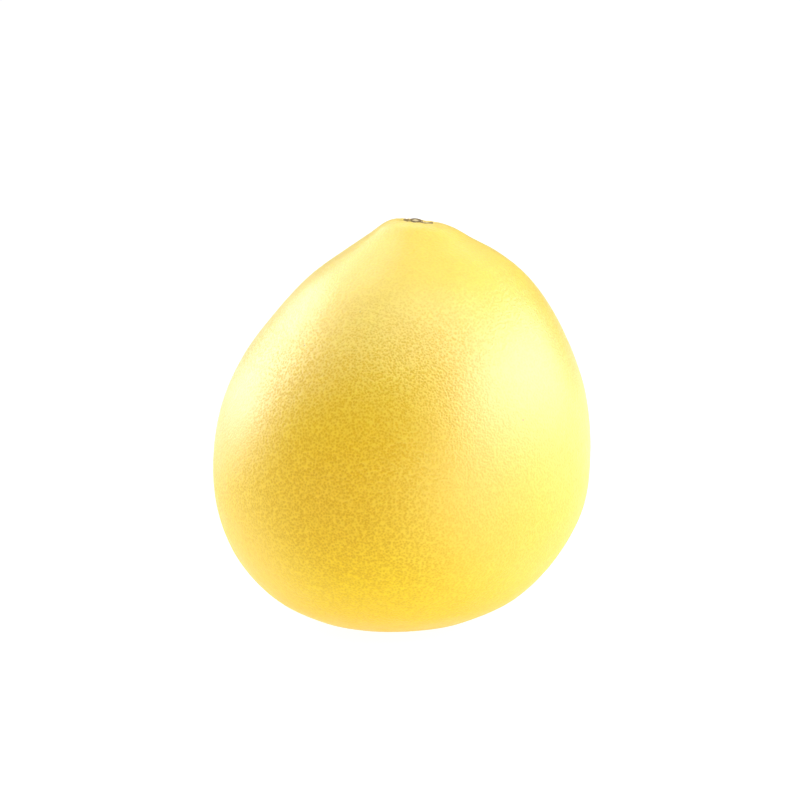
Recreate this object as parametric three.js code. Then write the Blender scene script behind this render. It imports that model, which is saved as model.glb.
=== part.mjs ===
// A whole pomelo: a pear-shaped citrus fruit with the dried stem button still in its crown.
// Millimetres, +Z up. The fruit rests on its blossom end and the stem is at the top.
import * as THREE from 'three';

// Crown: a low rim round the hollow that the stem grew from, tilted a little to one side.
const RIM_HEIGHT = 164.4;
const RIM_RADIUS = 8.8;
const RIM_MIDDLE = 7.2;
const HOLLOW_DEPTH = 1.2;
const HOLLOW_FLOOR_RADIUS = 5;
const HOLLOW_MIDDLE = 5.8;
const CROWN_TILT = THREE.MathUtils.degToRad(7.7);
const CROWN_TILT_TOWARDS = THREE.MathUtils.degToRad(36);
const CROWN_TILT_POWER = 28;

// Blossom end: the flat spot the fruit rests on, with the dimple that the flower left.
const FOOT_RADIUS = 17;
const SCAR_RADIUS = 5.5;
const SCAR_DEPTH = 1.2;

// Sections of the skin from the foot up to the rim: radius, middle's distance along +X, height.
const SECTIONS = [
  [FOOT_RADIUS, -3.0, 0],
  [23.0, -3.0, 0.7],
  [35.7, -2.8, 3.5],
  [52.6, -1.8, 13],
  [66.5, -1.3, 29],
  [75.1, 0.0, 49],
  [76.6, 0.6, 70],
  [73.6, 1.8, 91],
  [66.5, 3.4, 110],
  [56.2, 5.7, 127],
  [44.5, 7.1, 141],
  [32.0, 8.2, 151],
  [21.0, 7.8, 158],
  [14.3, 7.7, 162.5],
  [RIM_RADIUS, RIM_MIDDLE, RIM_HEIGHT],
];

// Slight unevenness: a slow swelling round the body and faint furrows below the rim.
const SWELL = 0.006;
const SWELL_OF_THREES = 0.0036;
const FURROW_COUNT = 7;
const FURROW_DEPTH = 0.35;
const FURROW_HEIGHT = 150;
const FURROW_REACH = 12;

// Stem button: five blunt sepals, dried hard round a cut stub.
const SEPAL_COUNT = 5;
const SEPAL_TIP_RADIUS = 6.0;
const SEPAL_NOTCH_RADIUS = 4.7;
const SEPAL_BLUNTNESS = 0.8;
const SEPAL_THICKNESS = 0.7;
const SEPAL_EDGE_THICKNESS = 0.6;
const STUB_RADIUS = 2.3;
const STUB_HEIGHT = 0.6;
const STUB_SLANT = 0.22;
const STUB_EDGE = 0.1;
const STUB_DISH = 0.1;
const BUTTON_GAP = 0.3;

// Fineness of the faceted surfaces.
const SKIN_STEPS_AROUND = 84;
const SKIN_RINGS = 48;
const FOOT_RINGS = 4;
const DIMPLE_RINGS = 5;
const HOLLOW_RINGS = 8;
const BUTTON_STEPS_AROUND = 60;
const BUTTON_RINGS = 5;

const RIND_COLOR = 0xf2cf4a;
const BUTTON_COLOR = 0xaa9565;

// 1 in the middle of a dimple, falling smoothly to 0 at its edge.
function dimple(distance, radius) {
  return distance < radius ? 0.5 + 0.5 * Math.cos(Math.PI * distance / radius) : 0;
}

// A point of the skin, from its ring's radius, middle and height, and the angle round the axis.
function skinPoint(radius, middle, height, angle) {
  const uneven = 1 + SWELL * Math.sin(2 * angle) + SWELL_OF_THREES * Math.sin(3 * angle);
  const nearFurrows = Math.exp(-(((height - FURROW_HEIGHT) / FURROW_REACH) ** 2));
  const furrow = FURROW_DEPTH * nearFurrows * Math.cos(FURROW_COUNT * angle);
  const reach = radius * uneven + furrow * Math.min(1, radius / RIM_RADIUS);
  const nearCrown = (Math.max(height, 0) / RIM_HEIGHT) ** CROWN_TILT_POWER;
  const drop = Math.tan(CROWN_TILT) * nearCrown * reach * Math.cos(angle - CROWN_TILT_TOWARDS);
  return new THREE.Vector3(middle + reach * Math.cos(angle), reach * Math.sin(angle), height - drop);
}

// A point in the stem hollow, at a distance from its middle: a flat floor within a smooth wall.
function hollowPoint(distance, angle) {
  const middle = THREE.MathUtils.lerp(HOLLOW_MIDDLE, RIM_MIDDLE, distance / RIM_RADIUS);
  const depth = HOLLOW_DEPTH * (1 - THREE.MathUtils.smoothstep(distance, HOLLOW_FLOOR_RADIUS, RIM_RADIUS));
  return skinPoint(distance, middle, RIM_HEIGHT - depth, angle);
}

// Rings of points, from the lowest to the highest, closed by one point at each end.
function closedSkin(bottom, rings, top) {
  const stepsAround = rings[0].length;
  const points = [bottom, ...rings.flat(), top];
  const ringPoint = (ring, step) => 1 + ring * stepsAround + (step % stepsAround);
  const faces = [];
  for (let step = 0; step < stepsAround; step += 1) {
    faces.push(0, ringPoint(0, step + 1), ringPoint(0, step));
    for (let ring = 0; ring < rings.length - 1; ring += 1) {
      const a = ringPoint(ring, step);
      const b = ringPoint(ring, step + 1);
      const c = ringPoint(ring + 1, step + 1);
      const d = ringPoint(ring + 1, step);
      faces.push(a, b, c, a, c, d);
    }
    const last = rings.length - 1;
    faces.push(points.length - 1, ringPoint(last, step), ringPoint(last, step + 1));
  }
  const geometry = new THREE.BufferGeometry().setFromPoints(points);
  geometry.setIndex(faces);
  geometry.computeVertexNormals();
  return geometry;
}

function ringOf(stepsAround, pointAt) {
  const angles = Array.from({ length: stepsAround }, (_, step) => 2 * Math.PI * step / stepsAround);
  return angles.map(pointAt);
}

function makeFruit() {
  const footMiddle = SECTIONS[0][1];
  const rings = [];
  const footRing = (radius) => ringOf(SKIN_STEPS_AROUND, (angle) => (
    skinPoint(radius, footMiddle, SCAR_DEPTH * dimple(radius, SCAR_RADIUS), angle)));
  for (let step = 1; step <= DIMPLE_RINGS; step += 1) {
    rings.push(footRing(SCAR_RADIUS * step / DIMPLE_RINGS));
  }
  for (let step = 1; step < FOOT_RINGS; step += 1) {
    rings.push(footRing(SCAR_RADIUS + (FOOT_RADIUS - SCAR_RADIUS) * step / FOOT_RINGS));
  }
  const outline = new THREE.CatmullRomCurve3(
    SECTIONS.map((section) => new THREE.Vector3(...section)), false, 'catmullrom', 0.5);
  for (const { x: radius, y: middle, z: height } of outline.getSpacedPoints(SKIN_RINGS)) {
    rings.push(ringOf(SKIN_STEPS_AROUND, (angle) => skinPoint(radius, middle, height, angle)));
  }
  for (let step = HOLLOW_RINGS - 1; step > 0; step -= 1) {
    const distance = RIM_RADIUS * step / HOLLOW_RINGS;
    rings.push(ringOf(SKIN_STEPS_AROUND, (angle) => hollowPoint(distance, angle)));
  }
  const bottom = skinPoint(0, footMiddle, SCAR_DEPTH, 0);
  const material = new THREE.MeshStandardMaterial({ color: RIND_COLOR, roughness: 0.45, metalness: 0 });
  const fruit = new THREE.Mesh(closedSkin(bottom, rings, hollowPoint(0, 0)), material);
  fruit.name = 'fruit';
  return fruit;
}

// How far the sepals reach from the middle of the button, at an angle round it.
function sepalReach(angle) {
  const lobe = Math.abs(Math.cos(SEPAL_COUNT * angle / 2)) ** SEPAL_BLUNTNESS;
  return SEPAL_NOTCH_RADIUS + (SEPAL_TIP_RADIUS - SEPAL_NOTCH_RADIUS) * lobe;
}

// The button lies in the hollow, so its underside repeats the hollow's shape a small gap above it.
function makeButton() {
  const above = (distance, angle, rise) => {
    const point = hollowPoint(distance, angle);
    point.z += BUTTON_GAP + rise;
    return point;
  };
  const rings = [];
  for (let step = 1; step <= BUTTON_RINGS; step += 1) {
    const share = step / BUTTON_RINGS;
    rings.push(ringOf(BUTTON_STEPS_AROUND, (angle) => above(share * sepalReach(angle), angle, 0)));
  }
  for (let step = BUTTON_RINGS; step > 0; step -= 1) {
    const share = step / BUTTON_RINGS;
    const thickness = THREE.MathUtils.lerp(SEPAL_THICKNESS, SEPAL_EDGE_THICKNESS, share);
    rings.push(ringOf(BUTTON_STEPS_AROUND, (angle) => (
      above(THREE.MathUtils.lerp(STUB_RADIUS, sepalReach(angle), share), angle, thickness))));
  }
  const stubTop = SEPAL_THICKNESS + STUB_HEIGHT;
  const cut = (distance, angle) => stubTop + STUB_SLANT * distance * Math.sin(angle);
  rings.push(ringOf(BUTTON_STEPS_AROUND, (angle) => above(STUB_RADIUS, angle, SEPAL_THICKNESS)));
  for (const edge of [0, STUB_EDGE]) {
    const distance = STUB_RADIUS - edge;
    rings.push(ringOf(BUTTON_STEPS_AROUND, (angle) => (
      above(distance, angle, cut(distance, angle) - STUB_EDGE + edge))));
  }
  const material = new THREE.MeshStandardMaterial({ color: BUTTON_COLOR, roughness: 0.85, metalness: 0 });
  const geometry = closedSkin(above(0, 0, 0), rings, above(0, 0, stubTop - STUB_DISH));
  const button = new THREE.Mesh(geometry, material);
  button.name = 'stem_button';
  return button;
}

const pomelo = new THREE.Group();
pomelo.add(makeFruit(), makeButton());

// The origin is under the middle of the object, on the surface it rests on.
const box = new THREE.Box3().setFromObject(pomelo);
const middle = box.getCenter(new THREE.Vector3());
for (const piece of pomelo.children) {
  piece.geometry.translate(-middle.x, -middle.y, -box.min.z);
}

export default pomelo;
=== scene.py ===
import math

import bpy
import numpy as np
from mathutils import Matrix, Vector, noise


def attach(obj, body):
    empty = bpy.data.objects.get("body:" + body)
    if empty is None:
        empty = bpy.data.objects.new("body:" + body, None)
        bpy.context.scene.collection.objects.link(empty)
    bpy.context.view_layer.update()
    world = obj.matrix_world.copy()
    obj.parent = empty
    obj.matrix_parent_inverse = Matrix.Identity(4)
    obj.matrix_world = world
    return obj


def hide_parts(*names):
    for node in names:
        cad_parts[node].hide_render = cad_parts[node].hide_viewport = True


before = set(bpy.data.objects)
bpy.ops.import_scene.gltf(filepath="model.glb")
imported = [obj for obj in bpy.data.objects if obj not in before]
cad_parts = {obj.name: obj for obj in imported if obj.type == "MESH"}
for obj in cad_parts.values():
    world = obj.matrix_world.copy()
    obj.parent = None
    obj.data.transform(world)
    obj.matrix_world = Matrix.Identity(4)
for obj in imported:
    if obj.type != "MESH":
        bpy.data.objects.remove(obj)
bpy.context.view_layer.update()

# The form is worked out in millimetres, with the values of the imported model, and then made in metres.
METRES = 0.001

# Crown: a low rim round the hollow that the stem grew from, tilted a little to one side.
RIM_HEIGHT = 164.4
RIM_RADIUS = 8.8
RIM_MIDDLE = 7.2
HOLLOW_DEPTH = 1.2
HOLLOW_FLOOR_RADIUS = 5.0
HOLLOW_MIDDLE = 5.8
CROWN_TILT = math.radians(7.7)
CROWN_TILT_TOWARDS = math.radians(36)
CROWN_TILT_POWER = 28

# Blossom end: the flat spot the fruit rests on, with the dimple that the flower left.
FOOT_RADIUS = 17.0
SCAR_RADIUS = 5.5
SCAR_DEPTH = 1.2

# Sections of the skin from the foot up to the rim: radius, middle's distance along +X, height.
SECTIONS = (
    (FOOT_RADIUS, -3.0, 0.0),
    (23.0, -3.0, 0.7),
    (35.7, -2.8, 3.5),
    (52.6, -1.8, 13.0),
    (66.5, -1.3, 29.0),
    (75.1, 0.0, 49.0),
    (76.6, 0.6, 70.0),
    (73.6, 1.8, 91.0),
    (66.5, 3.4, 110.0),
    (56.2, 5.7, 127.0),
    (44.5, 7.1, 141.0),
    (32.0, 8.2, 151.0),
    (21.0, 7.8, 158.0),
    (14.3, 7.7, 162.5),
    (RIM_RADIUS, RIM_MIDDLE, RIM_HEIGHT),
)
FOOT_MIDDLE = SECTIONS[0][1]

# Slight unevenness: a slow swelling round the body and faint furrows below the rim.
SWELL = 0.006
SWELL_OF_THREES = 0.0036
FURROW_COUNT = 7
FURROW_DEPTH = 0.35
FURROW_HEIGHT = 150.0
FURROW_REACH = 12.0

# Relief of the skin: size of each kind of broad unevenness and how far it rises, then the peel's dimples.
BROAD_RELIEF = ((38.0, 0.26), (16.0, 0.10), (7.0, 0.04))
PEEL_DIMPLE_SIZE = 2.4
PEEL_DIMPLE_DEPTH = 0.09
PEEL_DIMPLE_EDGE = 0.7
PEEL_DIMPLE_MEAN = 0.45
SMOOTH_FOOT_HEIGHT = 4.0

# Puckers: short folds that run down from the rim of the stem hollow.
PUCKER_COUNT = 13
PUCKER_DEPTH = 0.16
PUCKER_RADIUS = 10.5
PUCKER_REACH = 3.0
PUCKER_WAVER = 2.0
PUCKER_WAVER_SIZE = 9.0

# Stem button: five blunt sepals, dried hard round a cut stub.
SEPAL_COUNT = 5
SEPAL_TIP_RADIUS = 6.0
SEPAL_NOTCH_RADIUS = 4.7
SEPAL_BLUNTNESS = 0.8
SEPAL_THICKNESS = 0.7
SEPAL_EDGE_THICKNESS = 0.4
STUB_RADIUS = 2.3
STUB_HEIGHT = 0.6
STUB_SLANT = 0.22
STUB_DISH = 0.15
STUB_WAIST = 0.12
BUTTON_GAP = 0.3

# Unevenness of the dried button. The sepals' rags are given by how far they go, their size and their seed.
SEPAL_RAGS = ((0.40, 0.8, 3.0), (0.70, 3.2, 8.0))
SEPAL_RAG_LIMIT = 0.2
SEPAL_WRINKLE = 0.10
SEPAL_WRINKLE_SIZE = 0.8
SEPAL_WRINKLE_SEED = 5.0
SEPAL_RIB = 0.30
STREAK_SIZE = 0.55
STREAK_SEED = 9.0
SEPAL_CREASE = 0.30
SEPAL_CURL = 0.3
SEPAL_CURL_UNEVEN = 0.6
SEPAL_CURL_SIZE = 3.0
SEPAL_CURL_SEED = 7.0
BARK_RIDGE = 0.12
BARK_RIDGE_SIZE = 0.45
BARK_RIDGE_SEED = 2.0
BARK_RIDGE_TURN = 0.8
PITH_RADIUS = 1.3
PITH_RISE = 0.25
CUT_GRAIN = 0.06
CUT_GRAIN_SIZE = 0.35
CUT_GRAIN_SEED = 4.0

# Fineness of the meshes.
SKIN_CELLS = 126
FOOT_STEPS = 120
HOLLOW_STEPS = 80
SECTION_STEPS = 60
BUTTON_STEPS_AROUND = 240
BUTTON_UNDERSIDE_RINGS = 14
SEPAL_RINGS = 26
BARK_RINGS = 12
CUT_RINGS = 16

# Camera: where the photograph was taken from, in metres from under the middle of the fruit.
CAMERA_DISTANCE = 1.7
CAMERA_HEIGHT = 0.428
CAMERA_ASIDE = -0.00067
CAMERA_PITCH = math.radians(11.21)
CAMERA_LENS = 192.4
SENSOR_WIDTH = 36.0


def make_camera():
    data = bpy.data.cameras.new("camera")
    data.sensor_width = SENSOR_WIDTH
    data.lens = CAMERA_LENS
    data.clip_end = 100.0
    camera = bpy.data.objects.new("camera", data)
    camera.location = (CAMERA_ASIDE, -CAMERA_DISTANCE, CAMERA_HEIGHT)
    camera.rotation_euler = (math.pi / 2 - CAMERA_PITCH, 0.0, 0.0)
    bpy.context.scene.collection.objects.link(camera)
    bpy.context.scene.camera = camera


# The form of the fruit

def dimple(distance, radius):
    """1 in the middle of a dimple, falling smoothly to 0 at its edge."""
    return np.where(distance < radius, 0.5 + 0.5 * np.cos(np.pi * np.minimum(distance / radius, 1)), 0)


def skin_point(radius, middle, height, angle):
    """Points of the skin, from their ring's radius, middle and height, and the angle round the axis."""
    uneven = 1 + SWELL * np.sin(2 * angle) + SWELL_OF_THREES * np.sin(3 * angle)
    near_furrows = np.exp(-(((height - FURROW_HEIGHT) / FURROW_REACH) ** 2))
    furrow = FURROW_DEPTH * near_furrows * np.cos(FURROW_COUNT * angle)
    reach = radius * uneven + furrow * np.minimum(1, radius / RIM_RADIUS)
    near_crown = (np.maximum(height, 0) / RIM_HEIGHT) ** CROWN_TILT_POWER
    drop = math.tan(CROWN_TILT) * near_crown * reach * np.cos(angle - CROWN_TILT_TOWARDS)
    return np.stack([middle + reach * np.cos(angle), reach * np.sin(angle), height - drop], axis=-1)


def smooth_line(points, steps):
    """Points along the smooth curve through the given ones, with so many steps between each two."""
    points = np.array(points)
    knots = np.vstack([2 * points[0] - points[1], points, 2 * points[-1] - points[-2]])
    t = np.linspace(0, 1, steps, endpoint=False)[:, None]
    stretches = []
    for p0, p1, p2, p3 in zip(knots, knots[1:], knots[2:], knots[3:]):
        bend = 2 * p0 - 5 * p1 + 4 * p2 - p3
        twist = 3 * p1 - p0 - 3 * p2 + p3
        stretches.append(p1 + 0.5 * ((p2 - p0) * t + bend * t ** 2 + twist * t ** 3))
    return np.vstack([*stretches, points[-1:]])


def hollow_place(distance):
    """Middle and height of the stem hollow's rings: a flat floor within a smooth wall."""
    middle = HOLLOW_MIDDLE + (RIM_MIDDLE - HOLLOW_MIDDLE) * distance / RIM_RADIUS
    share = np.clip((distance - HOLLOW_FLOOR_RADIUS) / (RIM_RADIUS - HOLLOW_FLOOR_RADIUS), 0, 1)
    wall = share * share * (3 - 2 * share)
    return middle, RIM_HEIGHT - HOLLOW_DEPTH * (1 - wall)


def skin_profile():
    """Radius, middle and height from the middle of the foot to the middle of the stem hollow."""
    foot = np.linspace(0, FOOT_RADIUS, FOOT_STEPS, endpoint=False)
    hollow = np.linspace(RIM_RADIUS, 0, HOLLOW_STEPS)[1:]
    return np.vstack([
        np.column_stack([foot, np.full_like(foot, FOOT_MIDDLE), SCAR_DEPTH * dimple(foot, SCAR_RADIUS)]),
        smooth_line(SECTIONS, SECTION_STEPS),
        np.column_stack([hollow, *hollow_place(hollow)]),
    ])


def ball_grid(cells):
    """Directions and four-cornered faces of a ball blown up from a cube, each side cells by cells."""
    steps = np.tan(np.linspace(-math.pi / 4, math.pi / 4, cells + 1))
    along, across = (grid.ravel() for grid in np.meshgrid(steps, steps, indexing="ij"))
    corner = np.arange((cells + 1) ** 2).reshape(cells + 1, cells + 1)
    square = np.stack([corner[:-1, :-1], corner[1:, :-1], corner[1:, 1:], corner[:-1, 1:]], axis=-1)
    points, faces = [], []
    for axis in range(3):
        for side in (-1, 1):
            face_points = np.empty((along.size, 3))
            face_points[:, axis] = side
            face_points[:, (axis + 1) % 3] = along
            face_points[:, (axis + 2) % 3] = side * across
            faces.append(square.reshape(-1, 4) + len(points) * along.size)
            points.append(face_points)
    points = np.vstack(points)
    points /= np.linalg.norm(points, axis=1, keepdims=True)
    _, first, place = np.unique(points.round(7), axis=0, return_index=True, return_inverse=True)
    return points[first], place.ravel()[np.vstack(faces)]


def fruit_points(directions):
    """The smooth skin in the directions given, spread evenly, with each point's radius and angle."""
    profile = skin_profile()
    stretch = np.hypot(np.diff(profile[:, 0]), np.diff(profile[:, 2]))
    share = np.concatenate([[0], np.cumsum(stretch)]) / stretch.sum()
    place = np.arccos(np.clip(-directions[:, 2], -1, 1)) / math.pi
    radius, middle, height = (np.interp(place, share, column) for column in profile.T)
    angle = np.arctan2(directions[:, 1], directions[:, 0])
    return skin_point(radius, middle, height, angle), radius, angle


def noise_at(points, size):
    return np.array([noise.noise(Vector(point)) for point in points / size])


def cell_distance_at(points, size):
    """Distance from each point to the middle of its cell, in cells, about 0.1 to 0.9."""
    return np.array([noise.voronoi(Vector(point))[0][0] for point in points / size])


def skin_relief(points, radius, angle):
    """How far each point of the skin stands out, in millimetres. The foot and the hollow stay smooth."""
    relief = sum(rise * noise_at(points, size) for size, rise in BROAD_RELIEF)
    dimples = np.minimum(cell_distance_at(points, PEEL_DIMPLE_SIZE), PEEL_DIMPLE_EDGE) - PEEL_DIMPLE_MEAN
    relief = relief + PEEL_DIMPLE_DEPTH * dimples
    above_foot = np.clip(points[:, 2] / SMOOTH_FOOT_HEIGHT, 0, 1)
    relief *= above_foot * np.clip((radius - RIM_RADIUS) / RIM_RADIUS, 0, 1)
    at_crown = np.exp(-(((radius - PUCKER_RADIUS) / PUCKER_REACH) ** 2)) * (points[:, 2] > RIM_HEIGHT / 2)
    waver = PUCKER_WAVER * noise_at(points, PUCKER_WAVER_SIZE)
    return relief + PUCKER_DEPTH * at_crown * np.cos(PUCKER_COUNT * angle + waver)


def new_mesh_object(name, points, faces, material):
    mesh = bpy.data.meshes.new(name)
    mesh.from_pydata((points * METRES).tolist(), [], faces)
    mesh.shade_smooth()
    mesh.materials.append(material)
    piece = bpy.data.objects.new(name, mesh)
    bpy.context.scene.collection.objects.link(piece)
    return piece


def vertex_normals(piece):
    normals = np.empty(len(piece.data.vertices) * 3)
    piece.data.vertex_normals.foreach_get("vector", normals)
    return normals.reshape(-1, 3)


def middle_of_part(points):
    """Where the middle of the skin's box is before the part is moved over the origin."""
    low, high = points.min(axis=0), points.max(axis=0)
    return np.array([(low[0] + high[0]) / 2, (low[1] + high[1]) / 2, 0.0])


def make_skin(material):
    directions, faces = ball_grid(SKIN_CELLS)
    points, radius, angle = fruit_points(directions)
    offset = middle_of_part(points)
    points -= offset
    piece = new_mesh_object("skin", points, faces.tolist(), material)
    points += vertex_normals(piece) * skin_relief(points, radius, angle)[:, None]
    points[:, 2] = np.maximum(points[:, 2], 0)
    piece.data.vertices.foreach_set("co", (points * METRES).ravel())
    piece.data.update()
    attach(piece, "root")
    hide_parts("fruit")
    return offset


# The stem button

def ring_noise(angles, distance, size, seed):
    """Unevenness that goes round a ring without a seam, at a distance from the ring's middle."""
    x = np.cos(angles) * distance
    y = np.sin(angles) * distance
    return noise_at(np.stack([x, y, np.full_like(angles, seed)], axis=-1), size)


def sepal_reach(angles):
    """How far the ragged sepals reach from the middle of the button."""
    lobe = np.abs(np.cos(SEPAL_COUNT * angles / 2)) ** SEPAL_BLUNTNESS
    ragged = sum(rise * ring_noise(angles, SEPAL_TIP_RADIUS, size, seed) for rise, size, seed in SEPAL_RAGS)
    smooth = SEPAL_NOTCH_RADIUS + (SEPAL_TIP_RADIUS - SEPAL_NOTCH_RADIUS) * lobe
    return smooth + np.minimum(ragged, SEPAL_RAG_LIMIT)


def radial_streaks(angles):
    """Streaks that run from the stub out to the sepals' tips, about -0.5 to 0.5."""
    return ring_noise(angles, SEPAL_TIP_RADIUS, STREAK_SIZE, STREAK_SEED)


def sepal_rise(angles, share, reach):
    """Height of the sepals' upper side above the hollow, from the stub, at share 0, to the tips, at 1."""
    distance = STUB_RADIUS + (reach - STUB_RADIUS) * share
    thickness = SEPAL_THICKNESS + (SEPAL_EDGE_THICKNESS - SEPAL_THICKNESS) * share
    between = (1 - np.abs(np.cos(SEPAL_COUNT * angles / 2))) ** 2
    crease = SEPAL_CREASE * between * (0.4 + 0.6 * share)
    wrinkles = SEPAL_WRINKLE * ring_noise(angles, distance, SEPAL_WRINKLE_SIZE, SEPAL_WRINKLE_SEED)
    ribs = SEPAL_RIB * radial_streaks(angles) * (0.3 + 0.7 * share)
    curled = 1 - SEPAL_CURL_UNEVEN * np.cos(angles)
    curled += ring_noise(angles, SEPAL_TIP_RADIUS, SEPAL_CURL_SIZE, SEPAL_CURL_SEED)
    return thickness - crease + wrinkles + ribs + SEPAL_CURL * share ** 3 * curled


def add_attribute(piece, name, values):
    attribute = piece.data.attributes.new(name, "FLOAT", "POINT")
    attribute.data.foreach_set("value", values.astype(np.float32))


def button_faces(ring_count):
    """Four-cornered faces between the rings, and one face that closes each end."""
    steps = BUTTON_STEPS_AROUND
    faces = []
    for below in range(0, (ring_count - 1) * steps, steps):
        above = below + steps
        for step in range(steps):
            after = (step + 1) % steps
            faces.append((below + step, below + after, above + after, above + step))
    last = (ring_count - 1) * steps
    return [*faces, tuple(reversed(range(steps))), tuple(range(last, last + steps))]


def make_button(material, offset):
    angles = np.linspace(0, 2 * np.pi, BUTTON_STEPS_AROUND, endpoint=False)
    reach = sepal_reach(angles)
    rings, across = [], []

    def add_ring(distance, rise):
        distance = np.broadcast_to(distance, angles.shape)
        points = skin_point(distance, *hollow_place(distance), angles)
        points[:, 2] += rise
        rings.append(points)
        across.append(distance)

    for share in np.linspace(0.05, 0.97, BUTTON_UNDERSIDE_RINGS):
        add_ring(reach * share, 0.0)
    for share in np.linspace(1, 0, SEPAL_RINGS):
        add_ring(STUB_RADIUS + (reach - STUB_RADIUS) * share, BUTTON_GAP + sepal_rise(angles, share, reach))
    foot = BUTTON_GAP + SEPAL_THICKNESS
    slant = STUB_SLANT * STUB_RADIUS * np.sin(angles)
    for share in np.linspace(0, 1, BARK_RINGS)[1:]:
        seed = BARK_RIDGE_SEED + BARK_RIDGE_TURN * share
        bark = BARK_RIDGE * ring_noise(angles, STUB_RADIUS, BARK_RIDGE_SIZE, seed)
        waist = 1 - STUB_WAIST * math.sin(math.pi * share)
        add_ring(STUB_RADIUS * waist + bark, foot + (STUB_HEIGHT + slant) * share)
    for share in np.linspace(1, 0.04, CUT_RINGS)[1:]:
        distance = STUB_RADIUS * share
        pith = PITH_RISE * dimple(distance, PITH_RADIUS)
        grain = CUT_GRAIN * ring_noise(angles, distance, CUT_GRAIN_SIZE, CUT_GRAIN_SEED)
        dish = STUB_DISH * math.sin(math.pi * share)
        add_ring(distance, foot + STUB_HEIGHT + slant * share - dish + pith + grain)

    piece = new_mesh_object("button", np.vstack(rings) - offset, button_faces(len(rings)), material)
    add_attribute(piece, "across", np.concatenate(across))
    add_attribute(piece, "streaks", np.tile(radial_streaks(angles), len(rings)))
    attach(piece, "root")
    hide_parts("stem_button")


# Materials

def new_material(name):
    material = bpy.data.materials.new(name)
    material.use_nodes = True
    return material


def add_node(material, kind, values, **settings):
    """A new node, with its settings, and with each input's value or the output that it is linked from."""
    made = material.node_tree.nodes.new(kind)
    for name, value in settings.items():
        setattr(made, name, value)
    set_inputs(material, made, values)
    return made


def set_inputs(material, made, values):
    for name, value in values.items():
        if isinstance(value, bpy.types.NodeSocket):
            material.node_tree.links.new(value, made.inputs[name])
        else:
            made.inputs[name].default_value = value


def object_place(material):
    return add_node(material, "ShaderNodeTexCoord", {}).outputs["Object"]


def noise_texture(material, place, size, detail=2.0):
    """Soft noise, about 0 to 1, with patches about so many millimetres across."""
    values = {"Vector": place, "Scale": 1 / (size * METRES), "Detail": detail}
    return add_node(material, "ShaderNodeTexNoise", values).outputs["Fac"]


def cell_texture(material, place, size):
    """Distance to the nearest of many scattered points, as a share of their spacing in millimetres."""
    values = {"Vector": place, "Scale": 1 / (size * METRES)}
    return add_node(material, "ShaderNodeTexVoronoi", values).outputs["Distance"]


def ramp(material, value, low, high, at_low=0.0, at_high=1.0):
    values = {"Value": value, "From Min": low, "From Max": high, "To Min": at_low, "To Max": at_high}
    made = add_node(material, "ShaderNodeMapRange", values, interpolation_type="SMOOTHSTEP")
    return made.outputs["Result"]


def maths(material, operation, first, second):
    made = add_node(material, "ShaderNodeMath", {}, operation=operation)
    set_inputs(material, made, {0: first, 1: second})
    return made.outputs["Value"]


def mix(material, share, first, second):
    made = add_node(material, "ShaderNodeMix", {}, data_type="RGBA")
    set_inputs(material, made, {"Factor": share, 6: first, 7: second})
    return made.outputs[2]


def nearness(material, place, middle, reach, full):
    """1 within a distance from a place on the fruit, falling to 0 at its reach."""
    distance = add_node(material, "ShaderNodeVectorMath", {0: place, 1: middle}, operation="DISTANCE")
    return ramp(material, distance.outputs["Value"], reach, full)


def tinted(material, color, factors):
    """The color with its red, green and blue each times its own factor."""
    made = add_node(material, "ShaderNodeVectorMath", {0: color, 1: factors}, operation="MULTIPLY")
    return made.outputs["Vector"]


def bump(material, height, depth, below=None):
    """Relief of so many millimetres where the height goes from 0 to 1, on top of the relief below it."""
    values = {"Height": height, "Strength": 1.0, "Distance": depth * METRES}
    if below is not None:
        values["Normal"] = below
    return add_node(material, "ShaderNodeBump", values).outputs["Normal"]


# Rind: its base colors, and the factors by which pits and blotches change them in red, green and blue.
YELLOW = (0.93, 0.67, 0.006, 1)
DEEP_YELLOW = (0.92, 0.64, 0.004, 1)
PALE_YELLOW = (0.94, 0.70, 0.014, 1)
CROWN_YELLOW = (0.93, 0.63, 0.008, 1)
# Painted shade: a deeper yellow on the front left of the rind, where shade falls.
SHADED_SIDE_YELLOW = (0.90, 0.56, 0.003, 1)
# Painted reflection: a paler, whiter yellow where light reflected from beside the fruit is painted on the
# rind.
REFLECTION_PALE_YELLOW = (0.94, 0.625, 0.10, 1)
# Painted shade: a warmer, deeper yellow towards the bottom of the fruit.
BOTTOM_SHADE_YELLOW = (0.86, 0.54, 0.005, 1)
# Painted contact shadow: a darker gold at the very foot, where the fruit meets the floor.
CONTACT_SHADOW_GOLD = (0.74, 0.47, 0.02, 1)
SPECK_BROWN = (0.42, 0.25, 0.05, 1)
BETWEEN_PITS = (1.09, 1.12, 1.08)
IN_PITS = (0.865, 0.775, 0.42)
BETWEEN_BLOTCHES = (1.01, 1.01, 1.01)
IN_BLOTCHES = (0.98, 0.975, 0.95)

# Rind: the sizes, spacings and depths of its marks, in millimetres.
PATCH_SIZE = 34.0
MOTTLING_SIZE = 9.0
CROWN_PATCH_SIZE = 14.0
BLOTCH_SIZE = 3.5
SPECK_SPACING = 9.5
SPECK_CLUSTER_SIZE = 22.0
GLAND_SPACING = 1.00
GLAND_DEPTH = 0.08
GLAND_RAGGEDNESS = 0.85
GRAIN_SPACING = 0.85
GRAIN_DEPTH = 0.03
PORE_SPACING = 0.25
PORE_DEPTH = 0.006

# Rind: how strongly its kinds of color show.
# Strength of the painted shade on the front left.
SHADED_SIDE_LEVEL = 0.9
# Strength of the painted reflection.
REFLECTION_LEVEL = 0.8
# Strength of the painted shade towards the bottom and of the painted contact shadow at the foot.
BOTTOM_SHADE_LEVEL = 0.8
SPECK_LEVEL = 0.7

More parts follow.
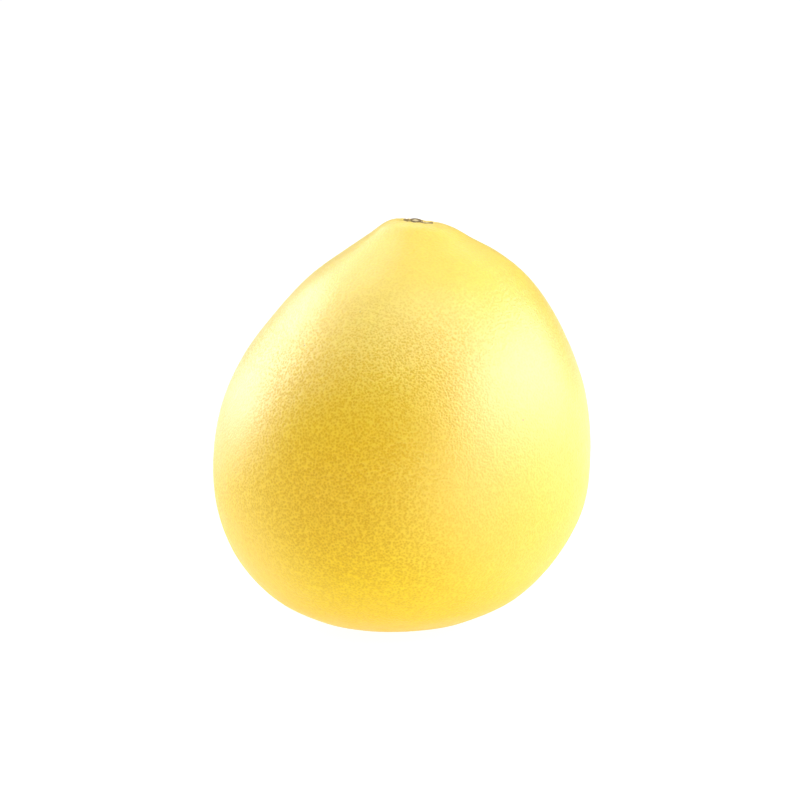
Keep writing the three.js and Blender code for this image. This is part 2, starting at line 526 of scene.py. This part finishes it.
# Places on the fruit are in metres, as materials read them. A pair of heights goes from none to full.
CROWN_HEIGHTS = (0.140, 0.166)
# Painted shade towards the bottom: none at the first height, full at the floor.
BOTTOM_SHADE_HEIGHTS = (0.036, 0.0)
# Painted contact shadow at the foot: none at the first height, full at the floor.
CONTACT_SHADOW_HEIGHTS = (0.006, 0.001)

# Painted reflection: pale places of the rind that stand for light reflected onto it from beside the fruit;
# the middle of each, how far it reaches, how far it is full and how pale it is.
REFLECTION_PLACES = (
    ((0.062, -0.050, 0.074), 0.084, 0.034, 1.0),
    ((-0.070, -0.026, 0.088), 0.046, 0.0, 1.0),
    ((-0.064, -0.040, 0.030), 0.052, 0.0, 0.9),
)

# Painted shade: a deeper yellow where shade falls on the front left of the fruit; its middle, and how far
# it reaches from there.
SHADED_SIDE_MIDDLE = (-0.030, -0.073, 0.068)
SHADED_SIDE_REACH = 0.070

# The pits are fainter near the crown, near the foot and where reflection is painted on the rind.
# A line of four values is two heights and the strength at each.
PITS_NEAR_CROWN = (0.155, 0.105, 0.25, 1.0)
PITS_NEAR_FOOT = (0.0, 0.045, 0.3, 1.0)
PITS_WHERE_REFLECTION = 0.35

# The wax gleams more up the fruit, and less at the very crown, where shade is painted and in the pits.
WAX_UP_THE_FRUIT = (0.028, 0.134, 0.1, 1.0)
WAX_AT_CROWN = (0.132, 0.156, 1.0, 0.85)
WAX_WHERE_SHADE_PAINTED = 0.55
WAX_BETWEEN_PITS = 1.25
WAX_IN_PITS = 0.42


def rind_color(material, place, height, mottling, painted_side_shade, painted_reflection):
    """The color of the rind without its pits and specks."""
    patches = noise_texture(material, place, PATCH_SIZE, 3.0)
    color = mix(material, ramp(material, patches, 0.35, 0.65), DEEP_YELLOW, YELLOW)
    color = mix(material, ramp(material, mottling, 0.50, 0.75, 0.0, 0.6), color, PALE_YELLOW)

    crown_patches = ramp(material, noise_texture(material, place, CROWN_PATCH_SIZE), 0.35, 0.65, 0.1, 0.7)
    crown = maths(material, "MULTIPLY", ramp(material, height, *CROWN_HEIGHTS), crown_patches)
    color = mix(material, crown, color, CROWN_YELLOW)

    # Painted shade: the rind turns deeper yellow on the front left, where shade falls.
    color = mix(material, maths(material, "MULTIPLY", painted_side_shade, SHADED_SIDE_LEVEL), color, SHADED_SIDE_YELLOW)
    # Painted reflection: paler places where light reflected onto the rind is painted.
    color = mix(material, maths(material, "MULTIPLY", painted_reflection, REFLECTION_LEVEL), color, REFLECTION_PALE_YELLOW)
    # Painted shade: warmer, deeper yellow towards the bottom.
    color = mix(material, ramp(material, height, *BOTTOM_SHADE_HEIGHTS, 0.0, BOTTOM_SHADE_LEVEL), color, BOTTOM_SHADE_YELLOW)
    # Painted contact shadow: a thin darker gold line at the foot.
    color = mix(material, ramp(material, height, *CONTACT_SHADOW_HEIGHTS, 0.0, BOTTOM_SHADE_LEVEL), color, CONTACT_SHADOW_GOLD)

    blotches = ramp(material, noise_texture(material, place, BLOTCH_SIZE, 2.0), 0.35, 0.65)
    in_blotches = tinted(material, color, IN_BLOTCHES)
    return mix(material, blotches, in_blotches, tinted(material, color, BETWEEN_BLOTCHES))


# How much reflection is painted at each place of the rind: the strongest of its pale places.
def painted_reflection_on_rind(material, place):
    painted_reflection = 0.0
    for middle, reach, full, level in REFLECTION_PLACES:
        reflection_place = maths(material, "MULTIPLY", nearness(material, place, middle, reach, full), level)
        painted_reflection = maths(material, "MAXIMUM", painted_reflection, reflection_place)
    return painted_reflection


def with_specks(material, place, color):
    """The color with small brown specks, which lie in loose clusters."""
    speck = ramp(material, cell_texture(material, place, SPECK_SPACING), 0.060, 0.030)
    clusters = ramp(material, noise_texture(material, place, SPECK_CLUSTER_SIZE), 0.50, 0.60)
    speck = maths(material, "MULTIPLY", speck, clusters)
    return mix(material, maths(material, "MULTIPLY", speck, SPECK_LEVEL), color, SPECK_BROWN)


def rind_material():
    material = new_material("pomelo_rind")
    shader = material.node_tree.nodes["Principled BSDF"]
    place = object_place(material)
    height = add_node(material, "ShaderNodeSeparateXYZ", {"Vector": place}).outputs["Z"]
    mottling = noise_texture(material, place, MOTTLING_SIZE, 3.0)
    # Where shade is painted on the rind: 1 at its middle, falling to 0 at its reach.
    painted_side_shade = nearness(material, place, SHADED_SIDE_MIDDLE, SHADED_SIDE_REACH, 0.0)
    # Painted reflection on the rind.
    painted_reflection = painted_reflection_on_rind(material, place)

    grain = noise_texture(material, place, GRAIN_SPACING, 1.0)
    raggedness = maths(material, "MULTIPLY", maths(material, "SUBTRACT", grain, 0.5), GLAND_RAGGEDNESS)
    cells = maths(material, "ADD", cell_texture(material, place, GLAND_SPACING), raggedness)
    gland = ramp(material, cells, 0.95, 0.05)
    pit = maths(material, "MULTIPLY", gland, ramp(material, height, *PITS_NEAR_CROWN))
    pit = maths(material, "MULTIPLY", pit, ramp(material, height, *PITS_NEAR_FOOT))
    pit = maths(material, "MULTIPLY", pit, ramp(material, painted_reflection, 0.0, 1.0, 1.0, PITS_WHERE_REFLECTION))

    color = rind_color(material, place, height, mottling, painted_side_shade, painted_reflection)
    color = mix(material, pit, tinted(material, color, BETWEEN_PITS), tinted(material, color, IN_PITS))
    color = with_specks(material, place, color)

    relief = bump(material, noise_texture(material, place, PORE_SPACING, 2.0), PORE_DEPTH)
    relief = bump(material, grain, GRAIN_DEPTH, relief)
    relief = bump(material, gland, -GLAND_DEPTH, relief)

    wax = ramp(material, height, *WAX_UP_THE_FRUIT)
    wax = maths(material, "MULTIPLY", wax, ramp(material, height, *WAX_AT_CROWN))
    wax = maths(material, "MULTIPLY", wax, ramp(material, painted_side_shade, 0.0, 1.0, 1.0, WAX_WHERE_SHADE_PAINTED))
    wax = maths(material, "MULTIPLY", wax, ramp(material, pit, 0.0, 1.0, WAX_BETWEEN_PITS, WAX_IN_PITS))
    set_inputs(material, shader, {
        "Base Color": color,
        "Roughness": ramp(material, mottling, 0.3, 0.7, 0.37, 0.45),
        "Normal": relief,
        "Coat Normal": relief,
        "IOR": 1.5,
        "Specular IOR Level": 0.25,
        "Subsurface Weight": 0.1,
        "Subsurface Radius": (1.0, 0.6, 0.1),
        "Subsurface Scale": 0.0015,
        "Coat Weight": wax,
        "Coat Roughness": 0.37,
        "Coat IOR": 2.1,
    })
    return material


# Stem button: its base colors, then, in millimetres from its middle, where each zone starts and is full.
BARK_BROWN = (0.20, 0.135, 0.055, 1)
SEPAL_TAN = (0.62, 0.49, 0.22, 1)
SEPAL_BROWN = (0.26, 0.18, 0.07, 1)
PITH_PALE = (0.66, 0.55, 0.30, 1)
DARK_TIPS = (4.0, 5.4, 0.0, 0.8)
BARK_EDGE = (3.1, 2.5)
CUT_EDGE = (2.1, 1.5)
CUT_RAGGEDNESS = 1.2
FIBRE_SIZE = 0.7
FIBRE_DEPTH = 0.12
STREAK_LEVEL = 0.7


def stem_material():
    material = new_material("dry_stem")
    shader = material.node_tree.nodes["Principled BSDF"]
    place = object_place(material)
    across = add_node(material, "ShaderNodeAttribute", {}, attribute_name="across").outputs["Fac"]
    streaks = add_node(material, "ShaderNodeAttribute", {}, attribute_name="streaks").outputs["Fac"]

    fibres = noise_texture(material, place, FIBRE_SIZE, 4.0)
    tone = maths(material, "ADD", fibres, maths(material, "MULTIPLY", streaks, STREAK_LEVEL))
    color = mix(material, ramp(material, tone, 0.25, 0.60), SEPAL_BROWN, SEPAL_TAN)
    color = mix(material, ramp(material, across, *DARK_TIPS), color, SEPAL_BROWN)
    color = mix(material, ramp(material, across, *BARK_EDGE), color, BARK_BROWN)
    ragged_across = maths(material, "ADD", across, maths(material, "MULTIPLY", fibres, CUT_RAGGEDNESS))
    color = mix(material, ramp(material, ragged_across, *CUT_EDGE), color, PITH_PALE)

    set_inputs(material, shader, {
        "Base Color": color,
        "Roughness": ramp(material, fibres, 0.3, 0.7, 0.7, 0.9),
        "Normal": bump(material, fibres, FIBRE_DEPTH),
    })
    return material


# Floor and light

FLOOR_HALF = 6000.0
FLOOR_GREY = (0.22, 0.22, 0.22, 1)
FLOOR_GLOW = 0.95
WORLD_GLOW = 0.3
WHITE = (1, 1, 1, 1)


def make_floor():
    material = new_material("pale_floor")
    set_inputs(material, material.node_tree.nodes["Principled BSDF"], {
        "Base Color": FLOOR_GREY,
        "Roughness": 0.9,
        "Specular IOR Level": 0.2,
        "Emission Color": WHITE,
        "Emission Strength": FLOOR_GLOW,
    })
    corners = FLOOR_HALF * np.array([(-1, -1, 0), (1, -1, 0), (1, 1, 0), (-1, 1, 0)])
    new_mesh_object("floor", corners, [(0, 1, 2, 3)], material)


# Soft boxes: angle round the fruit from the camera, angle above the floor, width, height, radiance.
SOFT_BOX_DISTANCE = 1.6
SOFT_BOXES = {
    "left_low": (-110, 18, 1.2, 1.0, 1.77),
    "left_high": (-90, 48, 1.2, 1.2, 0.64),
    "left_back": (-130, 18, 1.2, 1.0, 1.93),
    "left_rim": (-150, 48, 1.2, 1.2, 1.18),
    "right_front": (65, 18, 1.2, 1.0, 2.17),
    "right_high": (65, 48, 1.2, 1.2, 1.45),
    "right_low": (105, 18, 1.2, 1.0, 2.43),
    "right_back": (155, 48, 1.2, 1.2, 0.75),
    "top": (0, 72, 1.2, 1.2, 1.24),
}


def make_soft_box(name, azimuth, elevation, width, height, radiance):
    """A soft light that faces the middle of the fruit."""
    data = bpy.data.lights.new(name, "AREA")
    data.shape = "RECTANGLE"
    data.size = width
    data.size_y = height
    data.energy = radiance * math.pi * width * height
    light = bpy.data.objects.new(name, data)
    azimuth, elevation = math.radians(azimuth), math.radians(elevation)
    level = math.cos(elevation)
    outward = Vector((math.sin(azimuth) * level, -math.cos(azimuth) * level, math.sin(elevation)))
    light.location = Vector((0, 0, RIM_HEIGHT * METRES / 2)) + SOFT_BOX_DISTANCE * outward
    light.rotation_euler = (-outward).to_track_quat("-Z", "Y").to_euler()
    bpy.context.scene.collection.objects.link(light)


def make_world():
    world = bpy.data.worlds.new("world")
    world.use_nodes = True
    background = world.node_tree.nodes["Background"]
    background.inputs["Color"].default_value = WHITE
    background.inputs["Strength"].default_value = WORLD_GLOW
    bpy.context.scene.world = world


make_camera()
part_offset = make_skin(rind_material())
make_button(stem_material(), part_offset)
make_floor()
for box_name, box in SOFT_BOXES.items():
    make_soft_box(box_name, *box)
make_world()
bpy.context.scene.view_settings.view_transform = "Standard"
